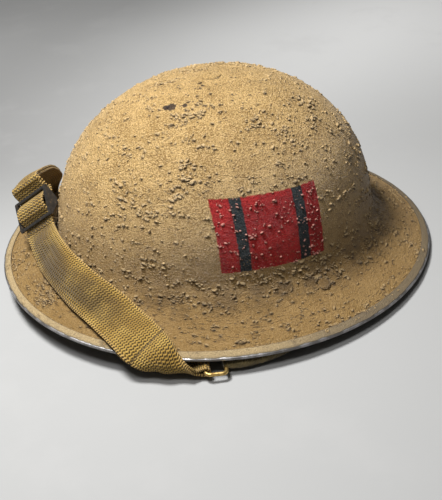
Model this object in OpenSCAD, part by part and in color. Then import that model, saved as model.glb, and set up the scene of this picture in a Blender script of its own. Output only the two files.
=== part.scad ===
// Brimmed steel helmet resting on its rim, with its chin strap lifted over the front of the brim.
// Shape is worked out in the helmet frame: rim plane at z = 0, front towards -Y, wearer's left at +X.
// sit() then tips the whole helmet the small amount it has when it rests on its strap sleeves.

/* [Shell] */
// outside width of the skull across the head, at the bottom of the dome
skull_w = 200; // [190:1:210]
// how much longer the skull is than wide, each end, at the bottom of the dome
skull_longer = 15; // [12:0.5:18]
// height of the crown above the bottom of the rim
crown_h = 126; // [118:1:134]
// distance from the centre to the rim at the side
rim_side = 146; // [142:0.5:150]
// how much further the rim is from the centre at the front and rear
rim_longer = 8; // [5:0.5:11]
// thickness of the pressed sheet
sheet = 1; // [0.8:0.1:1.4]

/* [Rim] */
// how far the folded rim strip reaches inwards over the brim
rim_leg = 6.2; // [4:0.1:9]
// thickness of the rim strip
rim_t = 0.6; // [0.4:0.05:0.8]
// gap of the butt joint in the rim strip, at the rear
rim_gap = 0.8; // [0.4:0.1:2]

/* [Liner] */
// space between the skull and the hoop that the liner hangs from
hoop_gap = 15; // [13:0.5:17]
// height of the hoop strip
hoop_h = 22; // [18:1:26]
// thickness of the hoop strip
hoop_t = 1.2; // [0.8:0.1:1.6]
// height of the sweat band
head_h = 36; // [30:1:40]
// thickness of the sweat band
head_t = 1.5; // [1:0.1:2]
// width of the two crossing bands
band_w = 20; // [16:1:26]
// thickness of the crossing bands
band_t = 1; // [0.8:0.1:1.2]
// number of rubber buffers round the hoop
buffer_n = 8; // [8:4:8]
// radius of a rubber buffer
buffer_r = 8.5; // [7:0.5:10]
// number of tongues in the skull net
tongue_n = 8; // [6:1:10]
// width of a tongue where it leaves the sweat band
tongue_w = 46; // [30:1:50]

/* [Crown bolt] */
// radius of the crown bolt's shank
bolt_r = 3; // [2.5:0.1:3.5]
// radius of the crown bolt's low head
bolt_head_r = 7; // [6:0.5:8]

/* [Chin strap] */
// width of the webbing
strap_w = 29; // [27:0.5:30]
// thickness of the webbing
strap_t = 1.7; // [1.4:0.1:1.8]
// width of the gathered spring sleeves
sleeve_w = 25; // [23:0.5:26]
// thickness of the gathered spring sleeves
sleeve_t = 8; // [7.5:0.1:8.2]
// radius of the wire in the rings and bails
wire_r = 1.3; // [1.1:0.05:1.4]
// radius of the bars of the slide buckle
bar_r = 1.2; // [1:0.05:1.3]

/* [Hidden] */
segs = 64;
clear = 0.12;
tilt = 2.5;
base_z = 9;
power = 2.2;
skull_r = skull_w / 2;
hoop_side = skull_r - hoop_gap;

// Small helpers
function unit(v) = v / norm(v);
function mix(a, b, t) = a * (1 - t) + b * t;
function flip(p) = [-p.x, p.y, p.z];
function rev(a) = [for (i = [len(a) - 1:-1:0]) a[i]];
// smooth curve through a list of points, t from 0 to the last index
function knot(a, i) = a[max(0, min(len(a) - 1, i))];
function curve(a, t) =
  let (i = max(0, min(len(a) - 2, floor(t))), u = t - i)
  let (p = knot(a, i - 1), q = a[i], r = a[i + 1], s = knot(a, i + 2))
  0.5 * (2 * q + (r - p) * u + (2 * p - 5 * q + 4 * r - s) * u * u
    + (3 * q - p - 3 * r + s) * u * u * u);

// closed solid through rings of points; looped joins the last ring to the first
module skin(rings, looped = false) {
  n = len(rings);
  m = len(rings[0]);
  last = looped ? n - 1 : n - 2;
  sides = [for (i = [0:last]) for (j = [0:m - 1])
    let (a = i * m + j, b = i * m + (j + 1) % m)
    let (c = ((i + 1) % n) * m + (j + 1) % m, d = ((i + 1) % n) * m + j)
    each [[a, b, c], [a, c, d]]];
  // end faces are cut across, for sections whose first half faces their second half
  half = floor(m / 2);
  ends = looped ? [] : [for (j = [0:half - 2])
    let (k = m - 1 - j, e = (n - 1) * m)
    each [[j, k, k - 1], [j, k - 1, j + 1], [e + j, e + k - 1, e + k], [e + j, e + j + 1, e + k - 1]]];
  polyhedron(points = [for (r = rings) each r], faces = concat(sides, ends), convexity = 6);
}

// Outline of the shell
// extra length of the oval at a given half width, front and rear
function longer(r) =
  let (k = (skull_longer + 2 - rim_longer) / (rim_side - skull_r), u = skull_longer * r / (0.88 * skull_r))
  let (v = skull_longer + 2 - (r - skull_r) * k)
  min(1, r / 20) * (u + v - sqrt((u - v) * (u - v) + 16)) / 2;
function oval(r, z, a) = [r * cos(a), (r + longer(r)) * sin(a), z];
function bez2(a, b, c, t) = a * (1 - t) * (1 - t) + b * 2 * t * (1 - t) + c * t * t;
function bez3(a, b, c, d, t) = a * pow(1 - t, 3) + b * 3 * t * pow(1 - t, 2) + c * 3 * t * t * (1 - t)
  + d * t * t * t;
// the dome is a full oval that stands nearly upright at its foot
function dome(th) = [skull_r * pow(cos(th), 2 / power),
  base_z + (crown_h - base_z) * pow(sin(th), 2 / power)];
foot = [skull_r - 1.05, 30];
// the flare takes this share of the way from the skull to the rim
flare_part = 0.391;
knee = [skull_r + flare_part * (rim_side - skull_r), 8.95];
rim_pt = [rim_side - 0.6, 1.6];
brim_span = rim_pt - knee;
function flare(t) = bez3(foot, foot + [1.1, -10], knee + [-0.61 * (knee.x - skull_r), 3.09], knee, t);
function brim(t) = bez2(knee, knee + [0.511 * brim_span.x, 0.415 * brim_span.y], rim_pt, t);
hole_r = bolt_r + 0.2;
outer = concat([[hole_r, crown_h - 0.02]],
  [for (th = [86, 83, 79, 74, 68, 61, 53, 45, 37, 29, 21.5, 15]) dome(th)],
  [for (t = [0, 0.25, 0.45, 0.65, 0.85]) flare(t)],
  [for (t = [0, 0.32, 0.64, 1]) brim(t)]);
// direction square to the outline at point i, pointing out of the shell
function out_dir(a, i) =
  let (d = a[min(len(a) - 1, i + 1)] - a[max(0, i - 1)])
  unit([-d.y, d.x]);
function inset(a, d) = [for (i = [0:len(a) - 1]) a[i] - d * (i == 0 ? [0, 1] : out_dir(a, i))];
wall = concat(outer, rev(inset(outer, sheet)));

// lug rivet: place on the flare and its direction
lug_at = 0.7;
lug_pt = flare(lug_at);
lug_turn = 12;
lug_dir = unit(flare(lug_at + 0.02) - flare(lug_at - 0.02));
lug_slope = atan2(-lug_dir.y, lug_dir.x);
lug_face = atan2(lug_pt.x * sin(lug_turn), (lug_pt.x + longer(lug_pt.x)) * cos(lug_turn));
// puts a thing drawn round z at the lug rivet, z along the rivet and x down the slope
module at_lug() {
  translate(oval(lug_pt.x, lug_pt.y, lug_turn))
    rotate([0, lug_slope, lug_face])
      children();
}
module both_sides() {
  children();
  mirror([1, 0, 0]) children();
}

module shell() {
  color([0.69, 0.56, 0.36])
    difference() {
      skin([for (i = [0:segs - 1]) [for (p = wall) oval(p.x, p.y, -i * 360 / segs)]], looped = true);
      both_sides()
        at_lug()
          translate([0, 0, -6])
            cylinder(r = 2.15, h = 12, $fn = 24);
    }
}

// Folded strip round the rim
edge = outer[len(outer) - 1];
edge_out = out_dir(outer, len(outer) - 1);
edge_along = [edge_out.y, -edge_out.x];
function rim_at(along, lift) = edge + along * edge_along + lift * edge_out;
rim_nose = [for (a = [60, 20, -20, -60])
  rim_at(0.05 + (sheet / 2 + clear / 2 + rim_t) * cos(a),
    -sheet / 2 + (sheet / 2 + clear / 2 + rim_t) * sin(a))];
rim_outline = concat(
  [rim_at(-rim_leg, clear / 2), rim_at(-rim_leg, clear / 2 + rim_t)],
  [rim_at(-rim_leg / 2, clear / 2 + rim_t)],
  rim_nose,
  [rim_at(-rim_leg / 2, -sheet - clear / 2 - rim_t), rim_at(-rim_leg, -sheet - clear / 2 - rim_t)],
  [rim_at(-rim_leg, -sheet - clear / 2), rim_at(-rim_leg / 2, -sheet - clear / 2)],
  [rim_at(0.05, -sheet - clear / 2), rim_at(0.05, clear / 2), rim_at(-rim_leg / 2, clear / 2)]);

module rim_strip() {
  half_gap = rim_gap / (rim_side + rim_longer) * 90 / PI;
  stops = concat([90 + half_gap], [for (i = [1:segs - 1]) 90 + i * 360 / segs], [450 - half_gap]);
  rings = [for (a = stops) [for (p = rim_outline) oval(p.x, p.y, -a)]];
  color([0.30, 0.31, 0.32])
    skin(rings);
}

// Hardware at the sides
bail_turn = -55;
eye_x = 13.5;
eye_z = -4.9;
plate_top = -sheet - 0.5;
module lug_shape() {
  at_lug()
    rotate(bail_turn)
      difference() {
        union() {
          translate([-6, -7, plate_top - 1.2])
            cube([eye_x + 6, 14, 1.2]);
          translate([eye_x, -7, eye_z])
            rotate([-90, 0, 0])
              cylinder(r = wire_r + 1.25, h = 14, $fn = 32);
        }
        translate([0, 0, -8])
          cylinder(r = 2.15, h = 10, $fn = 24);
        translate([eye_x, -8, eye_z])
          rotate([-90, 0, 0])
            cylinder(r = wire_r + 0.08, h = 16, $fn = 32);
      }
}
module left_lug() {
  color([0.25, 0.24, 0.22])
    lug_shape();
}
module right_lug() {
  color([0.25, 0.24, 0.22])
    mirror([1, 0, 0]) lug_shape();
}
module lug_rivet_shape() {
  at_lug() {
    translate([0, 0, plate_top - 1.3])
      cylinder(r = 2, h = 1.3 - plate_top + 0.7, $fn = 24);
    translate([0, 0, 0.6])
      rotate_extrude($fn = 32)
        polygon([[0, 0], [4.4, 0], [4.2, 0.5], [3.4, 1.1], [2.2, 1.55], [0, 1.75]]);
    translate([0, 0, plate_top - 2.3])
      cylinder(r1 = 2.6, r2 = 3.4, h = 1, $fn = 24);
  }
}
module lug_rivets() {
  color([0.66, 0.54, 0.35])
    both_sides() lug_rivet_shape();
}

// Frames
function rz(p, a) = [p.x * cos(a) - p.y * sin(a), p.x * sin(a) + p.y * cos(a), p.z];
function ry(p, a) = [p.x * cos(a) + p.z * sin(a), p.y, p.z * cos(a) - p.x * sin(a)];
function lug_turned(p) = rz(ry(rz(p, bail_turn), lug_slope), lug_face);
// the part of v that is square to n, made one long
function square_to(v, n) = unit(v - n * (v * n));
// draws its children with x along one direction and y along another
module frame(o, x, y) {
  z = cross(x, y);
  multmatrix([[x.x, y.x, z.x, o.x], [x.y, y.y, z.y, o.y], [x.z, y.z, z.z, o.z], [0, 0, 0, 1]])
    children();
}
// moves a hand-chosen point with the skull and rim when their sizes change; the points were
// chosen round a skull of this half width with a brim of this breadth
drawn_skull = 100;
drawn_brim = 46;
function fitted(p) =
  let (r = norm([p.x, p.y * 0.93]))
  let (s = skull_r + (r - drawn_skull) * (rim_side - skull_r) / drawn_brim)
  [p.x * s / r, p.y * s / r, p.z];
// the same for a rigid piece, which keeps its own distance from the skull
function stood_off(p) =
  let (r = norm([p.x, p.y * 0.93]), s = skull_r + r - drawn_skull)
  [p.x * s / r, p.y * s / r, p.z];
function all_fitted(a) = [for (p = a) fitted(p)];

// oblong loop of wire: one bar at x = 0, one at x = length
module wire_loop(length, width, r) {
  c = 2 * r + 0.2;
  for (s = [-1, 1]) {
    for (x = [0, length])
      translate([x, 0, 0])
        rotate([90 * s, 0, 0])
          cylinder(r = r, h = width / 2 - c, $fn = 24);
    translate([c, s * width / 2, 0])
      rotate([0, 90, 0])
        cylinder(r = r, h = length - 2 * c, $fn = 24);
    translate([c, s * (width / 2 - c), 0])
      rotate(s > 0 ? 90 : 180)
        rotate_extrude(angle = 90, $fn = 48)
          translate([c, 0]) circle(r = r, $fn = 24);
    translate([length - c, s * (width / 2 - c), 0])
      rotate(s > 0 ? 0 : 270)
        rotate_extrude(angle = 90, $fn = 48)
          translate([c, 0]) circle(r = r, $fn = 24);
  }
}

// bail: swings in the lug and holds the rear of the sleeve
bail_len = 14;
eye_pt = oval(lug_pt.x, lug_pt.y, lug_turn) + lug_turned([eye_x, 0, eye_z]);
eye_axis = lug_turned([0, 1, 0]);
bail_dir = square_to([14, -25.4, -5], eye_axis);
bail_bar = eye_pt + bail_len * bail_dir;
module bail_shape() {
  frame(eye_pt, bail_dir, eye_axis)
    wire_loop(bail_len, sleeve_w + 3.6, wire_r);
}
module left_bail() {
  color([0.20, 0.20, 0.19])
    bail_shape();
}
module right_bail() {
  color([0.20, 0.20, 0.19])
    mirror([1, 0, 0]) bail_shape();
}

// ring: joins the sleeve to the webbing just under the rim
ring_len = 12.8;
ring_back = unit([0.33, 0.944, 0]);
ring_in = [-ring_back.y, ring_back.x, 0];
ring_front_pt = fitted([119.3, -67.9, -5]);
ring_rear_pt = ring_front_pt + ring_len * ring_back;
module ring_shape() {
  frame(ring_front_pt, ring_back, ring_in)
    wire_loop(ring_len, strap_w + 4.6, wire_r);
}
module left_ring() {
  color([0.78, 0.62, 0.34])
    ring_shape();
}
module right_ring() {
  color([0.78, 0.62, 0.34])
    mirror([1, 0, 0]) ring_shape();
}

// Gathered sleeves over coil springs
// two layers of cloth sewn at the sides, the lower one looped round the bars
cloth_t = 1;
// the cloth stands this far off the wire that it is lapped round
lap_clear = 0.36;
sleeve_mid = concat([bail_bar],
  all_fitted([[126.2, -8.5, -1.4], [128.6, -25, -3.4], [127.2, -41, -4.38]]),
  [ring_rear_pt]);
sleeve_steps = 30;
sleeve_end = len(sleeve_mid) - 1;
seam = [1, 24, 52, 90, 128, 156, 179];
function sleeve_at(t) = curve(sleeve_mid, t);
function sleeve_along(t) = unit(sleeve_at(min(sleeve_end, t + 0.05)) - sleeve_at(max(0, t - 0.05)));
// the end at the bail starts parallel to its bar, then turns square to the sleeve
function sleeve_side(t) =
  let (square = square_to(mix(eye_axis, -ring_in, min(1, t / 1.5)), sleeve_along(t)))
  unit(mix(eye_axis, square, min(1, max(0, t - 0.2) / 0.7)));
function sleeve_up(t) = unit(cross(sleeve_along(t), sleeve_side(t)));
function bump(c, p) = c == 0 ? 0 : sign(c) * pow(abs(c), p);
function swell(t) = min(1, max(0, min(t - 0.15, sleeve_end - 0.15 - t) * 2));
// gathers stand out between the ends and differ in height
function gather(i) = i % 2 == 0 ? -0.35 : 0.35 + 0.35 * sin(i * 137);
function layer_ring(i, face, from, to) =
  let (t = from + (to - from) * i / sleeve_steps, s = swell(t), q = gather(i) * s)
  let (hw = mix(sleeve_w / 2 - 1.6, sleeve_w / 2 - 0.7, s) + 0.6 * q)
  let (ht = mix(wire_r + lap_clear + cloth_t, sleeve_t / 2 - 0.45, s) + 0.6 * q)
  let (c = sleeve_at(t), side = sleeve_side(t), up = sleeve_up(t) * face)
  let (in_t = mix(wire_r + lap_clear, sleeve_t / 2 - 1.5, s))
  concat([for (a = seam) c + side * hw * bump(cos(a), 0.75) + up * ht * bump(sin(a), 0.7)],
    [for (a = rev(seam)) c + side * (hw - 1.1) * bump(cos(a), 0.75) + up * in_t * bump(sin(a), 0.7)
      + up * 0.06]);
// the lower layer's end, lapped round a bar at c; x points from the bar into the sleeve
function lap_ring(c, x, side, up, a) =
  let (d = up * sin(a) - x * cos(a), r = wire_r + lap_clear, hw = sleeve_w / 2 - 1.6)
  concat([for (k = seam) c + side * hw * bump(cos(k), 0.75) + d * (r + cloth_t)],
    [for (k = rev(seam)) c + side * (hw - 0.4) * bump(cos(k), 0.75) + d * r]);
module springs() {
  for (side = [-5.2, 5.2])
    skin([for (t = [0.45:0.258:3.55]) [for (k = [7:-1:0]) let (a = (k + 0.5) * 45)
      sleeve_at(t) + sleeve_side(t) * (side + 2.1 * cos(a)) + sleeve_up(t) * 2.1 * sin(a)]]);
}
module sleeve_shape() {
  upper = [for (i = [0:sleeve_steps]) layer_ring(i, 1, 0.34, sleeve_end - 0.3)];
  skin([for (r = upper) rev(r)]);
  lower = concat(
    [for (a = [100, 60, 20, -20, -60, -100])
      lap_ring(bail_bar, square_to(sleeve_along(0), eye_axis), eye_axis, sleeve_up(0), a)],
    [for (i = [0:sleeve_steps]) layer_ring(i, -1, 0.22, sleeve_end - 0.22)],
    [for (a = [-100, -60, -20, 20, 60, 100])
      lap_ring(ring_rear_pt, square_to(-sleeve_along(sleeve_end), ring_in), -ring_in,
        sleeve_up(sleeve_end), a)]);
  skin(lower);
}
module left_sleeve() {
  color([0.43, 0.37, 0.22])
    sleeve_shape();
}
module right_sleeve() {
  color([0.43, 0.37, 0.22])
    mirror([1, 0, 0]) sleeve_shape();
}
module left_springs() {
  color([0.45, 0.45, 0.46])
    springs();
}
module right_springs() {
  color([0.45, 0.45, 0.46])
    mirror([1, 0, 0]) springs();
}

// Slide buckle
buckle_across = unit([0.593, 0.51, 0.623]);
buckle_along = square_to([-0.77, 0.1, 0.63], buckle_across);
buckle_pt = stood_off([-29.5, -121.4, 33]);
buckle_step = 10;
buckle_out = -cross(buckle_along, buckle_across);
bar_lift = strap_t / 2 + clear + bar_r;
layer = strap_t + 0.25;
bar_drop = -layer - bar_lift;
buckle_half = strap_w / 2 + 0.5 + bar_r;
module slide_buckle() {
  bars = [[0, bar_lift], [buckle_step, bar_drop], [2 * buckle_step, bar_lift]];
  color([0.07, 0.07, 0.075])
    frame(buckle_pt, buckle_along, buckle_across) {
      for (b = bars)
        translate([b.x, 0, -b.y])
          rotate([90, 0, 0])
            cylinder(r = bar_r, h = 2 * buckle_half, center = true, $fn = 24);
      for (s = [-1, 1])
        translate([0, s * buckle_half, 0])
          rotate([90, 0, 0])
            linear_extrude(height = 2 * bar_r, center = true)
              polygon([[-bar_r, -bar_lift - 0.4], [-bar_r, -bar_lift + 0.6],
                [buckle_step - bar_r - 0.6, -bar_drop + bar_r],
                [buckle_step + bar_r + 0.6, -bar_drop + bar_r],
                [2 * buckle_step + bar_r, -bar_lift + 0.6], [2 * buckle_step + bar_r, -bar_lift - 0.4],
                [2 * buckle_step, -bar_lift - bar_r], [0, -bar_lift - bar_r]]);
    }
}

// Chin strap webbing
// each station: upper edge, lower edge, and the way the webbing bows out
near_run = [
  [[131, -78.5, -5.6], [104.2, -70.2, -6.8], [0.1, -0.4, -0.9]],
  [[130.6, -82, -2], [104.4, -79, -7.6], [0.2, -0.7, -0.7]],
  [[128, -84, 2], [106.8, -88, -8], [0.4, -0.75, -0.5]],
  [[121.5, -84.8, 6], [110.7, -96, -7.6], [0.8, -0.6, 0]],
  [[113, -85.5, 10], [113.6, -104.2, -4.9], [0.8, -0.4, 0.3]],
  [[105, -86.5, 12.2], [111, -111.1, -0.9], [0.5, -0.3, 0.8]],
  [[98, -87.6, 13.2], [104.7, -115.9, 3.45], [0.3, -0.2, 0.9]],
  [[89, -89, 14], [95.6, -118.3, 6.3], [0, 0, 1]],
  [[80.5, -91, 14.6], [85.5, -120, 7], [0, 0, 1]],
  [[66.5, -95.3, 18.8], [71, -123.2, 8.8], [0, -0.3, 1]],
  [[55, -100.3, 22.3], [58.5, -126, 10], [0, -0.4, 1]],
  [[43, -105.7, 25.5], [46, -128.2, 10.8], [0, -0.5, 1]],
  [[30, -110.4, 29.2], [31, -129.8, 11.3], [0, -0.6, 1]],
  [[17.5, -114, 32.6], [15, -131, 11.8], [0, -0.7, 1]],
  [[3, -115.6, 35.6], [-3.5, -131.4, 12.6], [0, -0.7, 1]]];
far_run = [
  [[-65, -106.5, 54], [-78, -122.5, 35], [-0.2, -0.8, 0.5]],
  [[-84.5, -93.5, 46], [-95.5, -113.5, 27], [-0.5, -0.6, 0.5]],
  [[-102.5, -83, 33], [-111.5, -106.5, 16], [-0.6, -0.5, 0.6]],
  [[-115.5, -78, 22], [-120.8, -103.4, 6.6], [-0.7, -0.5, 0.6]],
  [[-126.4, -77, 11.5], [-121.5, -99.6, -3], [-0.8, -0.5, 0.3]],
  [[-133, -77.8, 3], [-116.4, -92, -7.4], [-0.8, -0.6, -0.2]],
  [[-133.2, -78.6, -2.6], [-109.6, -82, -7], [-0.3, -0.95, -0.1]],
  [[-131.4, -78.7, -4.8], [-104.6, -70.6, -6.4], [-0.1, -0.8, -0.4]]];
strap_half = strap_w / 2;
function on_buckle(x, n) = let (c = buckle_pt + x * buckle_along + n * buckle_out)
  [c + strap_half * buckle_across, c - strap_half * buckle_across, buckle_out];
function wide(s) = let (a = fitted(s[0]), b = fitted(s[1]), c = (a + b) / 2, k = strap_w / 29)
  [c + (a - c) * k, c + (b - c) * k, unit(s[2])];
// slack webbing dips under the two outer bars and stands up in a hump between and beyond them
humps = [[-0.8, 0], [-0.4, -0.1], [-0.05, -0.25], [0.3, 1.3], [0.6, 4.1], [1, 5.3], [1.4, 4.1],
  [1.7, 1.3], [2, -0.25], [2.3, 1.3], [2.6, 4.1], [3, 5]];
stations = concat([for (s = near_run) wide(s)],
  [for (h = humps) on_buckle(h.x * buckle_step, h.y)],
  [for (s = far_run) wide(s)]);
tops = [for (s = stations) s[0]];
lows = [for (s = stations) s[1]];
bows = [for (s = stations) s[2]];
last_run = len(stations) - 1;
near_last = len(near_run) - 1;
// three points across: where the edges are closer than the width, the middle bows out
function across(a, b, w) =
  let (c = norm(b - a), k = c < strap_w ? sqrt(3 * c * (strap_w - c) / 8) : 0)
  [a, (a + b) / 2 + k * square_to(w, unit(b - a)), b];
function run(t) = across(curve(tops, t), curve(lows, t), curve(bows, t));
function run_out(t) =
  let (p = run(max(0, t - 0.1)), q = run(min(last_run, t + 0.1)), m = run(t))
  [for (k = [0:2])
    unit(cross(q[k] - p[k], k == 0 ? m[1] - m[0] : k == 2 ? m[2] - m[1] : m[2] - m[0]))];
function run_off(t, d) = let (p = run(t), n = run_out(t)) [for (k = [0:2]) p[k] + d * n[k]];
// the webbing goes round a bar: c is the bar, x points back along the webbing, n is outwards
function turn(c, x, n, side, r, from, to) = [for (a = [from:(to - from) / 5:to])
  let (p = c + r * (cos(a) * n - sin(a) * x))
  [p + strap_half * side, p, p - strap_half * side]];
soft_clear = 0.36;
loop_r = wire_r + soft_clear + strap_t / 2;
buckle_loop_r = bar_r + clear + strap_t / 2;
down = [0, 0, -1];
near_turn = turn(ring_front_pt, -ring_back, down, -ring_in, loop_r, 180, 0);
far_turn = turn(flip(ring_front_pt), flip(-ring_back), down, flip(-ring_in), loop_r, 0, 180);
buckle_bar_c = buckle_pt + buckle_step * buckle_along + bar_drop * buckle_out;
buckle_turn = turn(buckle_bar_c, buckle_along, buckle_out, buckle_across, buckle_loop_r, 0, 180);
sewn_to = 6.6;
path = concat(
  [for (t = [sewn_to:-0.5:0]) run_off(t, -layer)],
  near_turn,
  [for (t = [0:0.5:last_run]) run(t)],
  far_turn,
  [for (t = [last_run:-0.5:near_last + len(humps)]) run_off(t, -layer)],
  [for (h = [[2.55, 0.6], [2.25, -1.6], [2, -2.3], [1.6, -2.1], [1.3, -layer]])
    let (s = on_buckle(h.x * buckle_step, h.y)) [s[0], (s[0] + s[1]) / 2, s[1]]],
  buckle_turn,
  [for (k = [0.5, 0.9, 1.3])
    let (s = on_buckle((1 + k) * buckle_step, -2 * layer - (k < 0.9 ? 0.9 : 0)))
    [s[0], (s[0] + s[1]) / 2, s[1]]]);
function five(s) = [for (q = [0, 0.25, 0.5, 0.75, 1])
  s[0] * (1 - q) * (1 - 2 * q) + s[1] * 4 * q * (1 - q) + s[2] * q * (2 * q - 1)];
function ribbon_ring(i) =
  let (s = five(path[i]), p = five(path[max(0, i - 1)]), q = five(path[min(len(path) - 1, i + 1)]))
  let (n = [for (k = [0:4]) unit(cross(q[k] - p[k], s[min(4, k + 1)] - s[max(0, k - 1)]))])
  concat([for (k = [0:4]) s[k] + n[k] * strap_t / 2], [for (k = [4:-1:0]) s[k] - n[k] * strap_t / 2]);
module strap_webbing() {
  color([0.66, 0.53, 0.28])
    skin([for (i = [0:len(path) - 1]) ribbon_ring(i)]);
}

// Liner
function hoop_oval(r, a) = [r * cos(a), (r + skull_longer) * sin(a)];
module oval_tube(r, t, z, h) {
  translate([0, 0, z])
    linear_extrude(height = h)
      difference() {
        polygon([for (i = [0:segs - 1]) hoop_oval(r, i * 360 / segs)]);
        polygon([for (i = [0:segs - 1]) hoop_oval(r - t, i * 360 / segs)]);
      }
}
hoop_z = 22;
head_z = 12;
head_side = hoop_side - hoop_t - 0.25;
buffer_z = hoop_z + hoop_h / 2;
buffer_len = hoop_gap - sheet - 3.3;
// children are drawn with z pointing out of the hoop at each buffer
module at_buffers() {
  for (i = [0:buffer_n - 1]) {
    a = (i + 0.5) * 360 / buffer_n;
    p = hoop_oval(hoop_side, a);
    translate([p.x, p.y, buffer_z])
      rotate(atan2(hoop_side * sin(a), (hoop_side + skull_longer) * cos(a)))
        rotate([0, 90, 0])
          children();
  }
}
module rivet_holes(r) {
  at_buffers()
    translate([0, 0, -6])
      cylinder(r = r, h = 12, $fn = 20);
}
module hoop() {
  color([0.23, 0.15, 0.10])
    difference() {
      oval_tube(hoop_side, hoop_t, hoop_z, hoop_h);
      rivet_holes(1.6);
    }
}
module rubber_buffers() {
  color([0.12, 0.11, 0.10])
    at_buffers()
      difference() {
        rotate_extrude($fn = 40)
          polygon([[0, 0.1], [buffer_r, 0.1], [buffer_r, 4], [buffer_r - 1.2, buffer_len],
            [0, buffer_len]]);
        translate([0, 0, -1])
          cylinder(r = 1.6, h = 7, $fn = 20);
        translate([0, 0, 6.5])
          cylinder(r = buffer_r - 3.5, h = buffer_len, $fn = 32);
      }
}
module buffer_rivets() {
  color([0.62, 0.55, 0.38])
    at_buffers() {
      translate([0, 0, -hoop_t - head_t - 0.7])
        cylinder(r = 1.5, h = hoop_t + head_t + 6.2, $fn = 20);
      translate([0, 0, -hoop_t - head_t - 1.5])
        cylinder(r1 = 2.2, r2 = 3.2, h = 0.9, $fn = 24);
    }
}
module sweat_band() {
  color([0.16, 0.10, 0.07])
    difference() {
      oval_tube(head_side, head_t, head_z, head_h);
      rivet_holes(1.7);
    }
}

// arch of a crossing band, from the hoop up and over
arch_top = crown_h - sheet - 1.3;
arch_z = hoop_z + hoop_h + 1;
function arch(half, top, th) = [half * cos(th), arch_z + (top - arch_z) * sin(th)];
// flat on top where the two bands cross
function arch_side(half, top) = concat([[half, hoop_z + 2]], [for (i = [0:15]) arch(half, top, i * 5)],
  [[band_w / 2 + 1, top], [0, top]]);
module arch_band(half, top) {
  up = arch_side(half, top);
  low = arch_side(half - band_t, top - band_t);
  n = len(up) - 2;
  far_up = [for (i = [n:-1:0]) [-up[i].x, up[i].y]];
  far_low = [for (i = [0:n]) [-low[i].x, low[i].y]];
  side = concat(up, far_up, far_low, rev(low));
  difference() {
    rotate([90, 0, 0])
      linear_extrude(height = band_w, center = true)
        polygon(side);
    cylinder(r = hole_r, h = crown_h + 10, $fn = 32);
  }
}
module cross_band() {
  color([0.25, 0.17, 0.11])
    arch_band(hoop_side + band_t + 0.15, arch_top);
}
module long_band() {
  color([0.25, 0.17, 0.11])
    rotate(90)
      arch_band(hoop_side + skull_longer + band_t + 0.15, arch_top - band_t - 0.1);
}
stack = arch_top - 2 * band_t - 0.1;
module crown_bolt() {
  color([0.66, 0.54, 0.35]) {
    translate([0, 0, stack - 8.5])
      cylinder(r = bolt_r, h = crown_h + 0.15 - stack + 8.5, $fn = 32);
    translate([0, 0, crown_h + 0.05])
      rotate_extrude($fn = 40)
        polygon([[0, 0], [bolt_head_r, 0], [bolt_head_r - 0.1, 0.5], [bolt_head_r - 1.4, 1.2],
          [bolt_head_r - 3.6, 1.7], [0, 1.9]]);
  }
}
module crown_washer() {
  color([0.42, 0.42, 0.42])
    translate([0, 0, stack - 1.45])
      difference() {
        cylinder(r = 9, h = 1.2, $fn = 40);
        translate([0, 0, -1])
          cylinder(r = bolt_r + 0.1, h = 4, $fn = 32);
      }
}
module crown_nut() {
  color([0.42, 0.42, 0.42])
    translate([0, 0, stack - 6.5])
      difference() {
        cylinder(r = 6.2, h = 5, $fn = 6);
        translate([0, 0, -1])
          cylinder(r = bolt_r + 0.05, h = 8, $fn = 32);
      }
}
pad_r = 30;
pad_top = stack - 3.33;
// the pad's collar reaches up to the flat of the lower band
pad_collar = stack - pad_top - 0.02;
module crown_pad() {
  color([0.20, 0.18, 0.16])
    translate([0, 0, pad_top])
      rotate_extrude($fn = 48)
        polygon([[9.6, pad_collar], [11, pad_collar], [13, 0], [pad_r, -0.6], [pad_r, -4.5],
          [pad_r - 2.5, -7], [12, -8], [9.6, -7.2]]);
}

// net of tongues that meet at a drawstring under the crown
net_top = 98;
cord_r = 1.2;
cord_ring = 12;
tongue_t = 1;
function tongue_mid(t) = bez3([head_side - head_t - tongue_t / 2 - 0.35, head_z + head_h - 7],
  [head_side - 1, 72], [48, net_top - 3], [cord_ring - 2.5, net_top], t);
function tongue_ring(a, t) =
  let (p = tongue_mid(t), q = tongue_mid(min(1, t + 0.02)), o = tongue_mid(max(0, t - 0.02)))
  let (d = unit(q - o), n = [-d.y, d.x] * tongue_t / 2)
  let (f = skull_longer * min(1, p.x / head_side))
  let (hw = min(tongue_w / 2 * (1 - 0.25 * t), p.x * 0.93 * tan(180 / tongue_n)))
  let (c = [p.x * cos(a), (p.x + f) * sin(a)], s = unit([-p.x * sin(a), (p.x + f) * cos(a)]))
  let (bend = pow(pow(p.x * sin(a), 2) + pow((p.x + f) * cos(a), 2), 1.5) / (p.x * (p.x + f)))
  let (w = [s.y, -s.x], sag = [1, 0.11, 0.11, 1] * hw * hw / (2 * bend))
  concat(
    [for (k = [0:3]) let (e = c + s * hw * (1 - 2 * k / 3) + w * (n.x - sag[k])) [e.x, e.y, p.y + n.y]],
    [for (k = [3:-1:0]) let (e = c + s * hw * (1 - 2 * k / 3) - w * (n.x + sag[k])) [e.x, e.y, p.y - n.y]]);
module skull_net() {
  color([0.20, 0.13, 0.09])
    for (i = [0:tongue_n - 1])
      skin([for (t = [1:-0.125:0]) tongue_ring((i + 0.5) * 360 / tongue_n, t)]);
}
module drawstring() {
  color([0.55, 0.47, 0.33])
    translate([0, 0, net_top + tongue_t / 2 + cord_r + 0.1])
      rotate_extrude($fn = 48)
        translate([cord_ring, 0]) circle(r = cord_r, $fn = 12);
}

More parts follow.
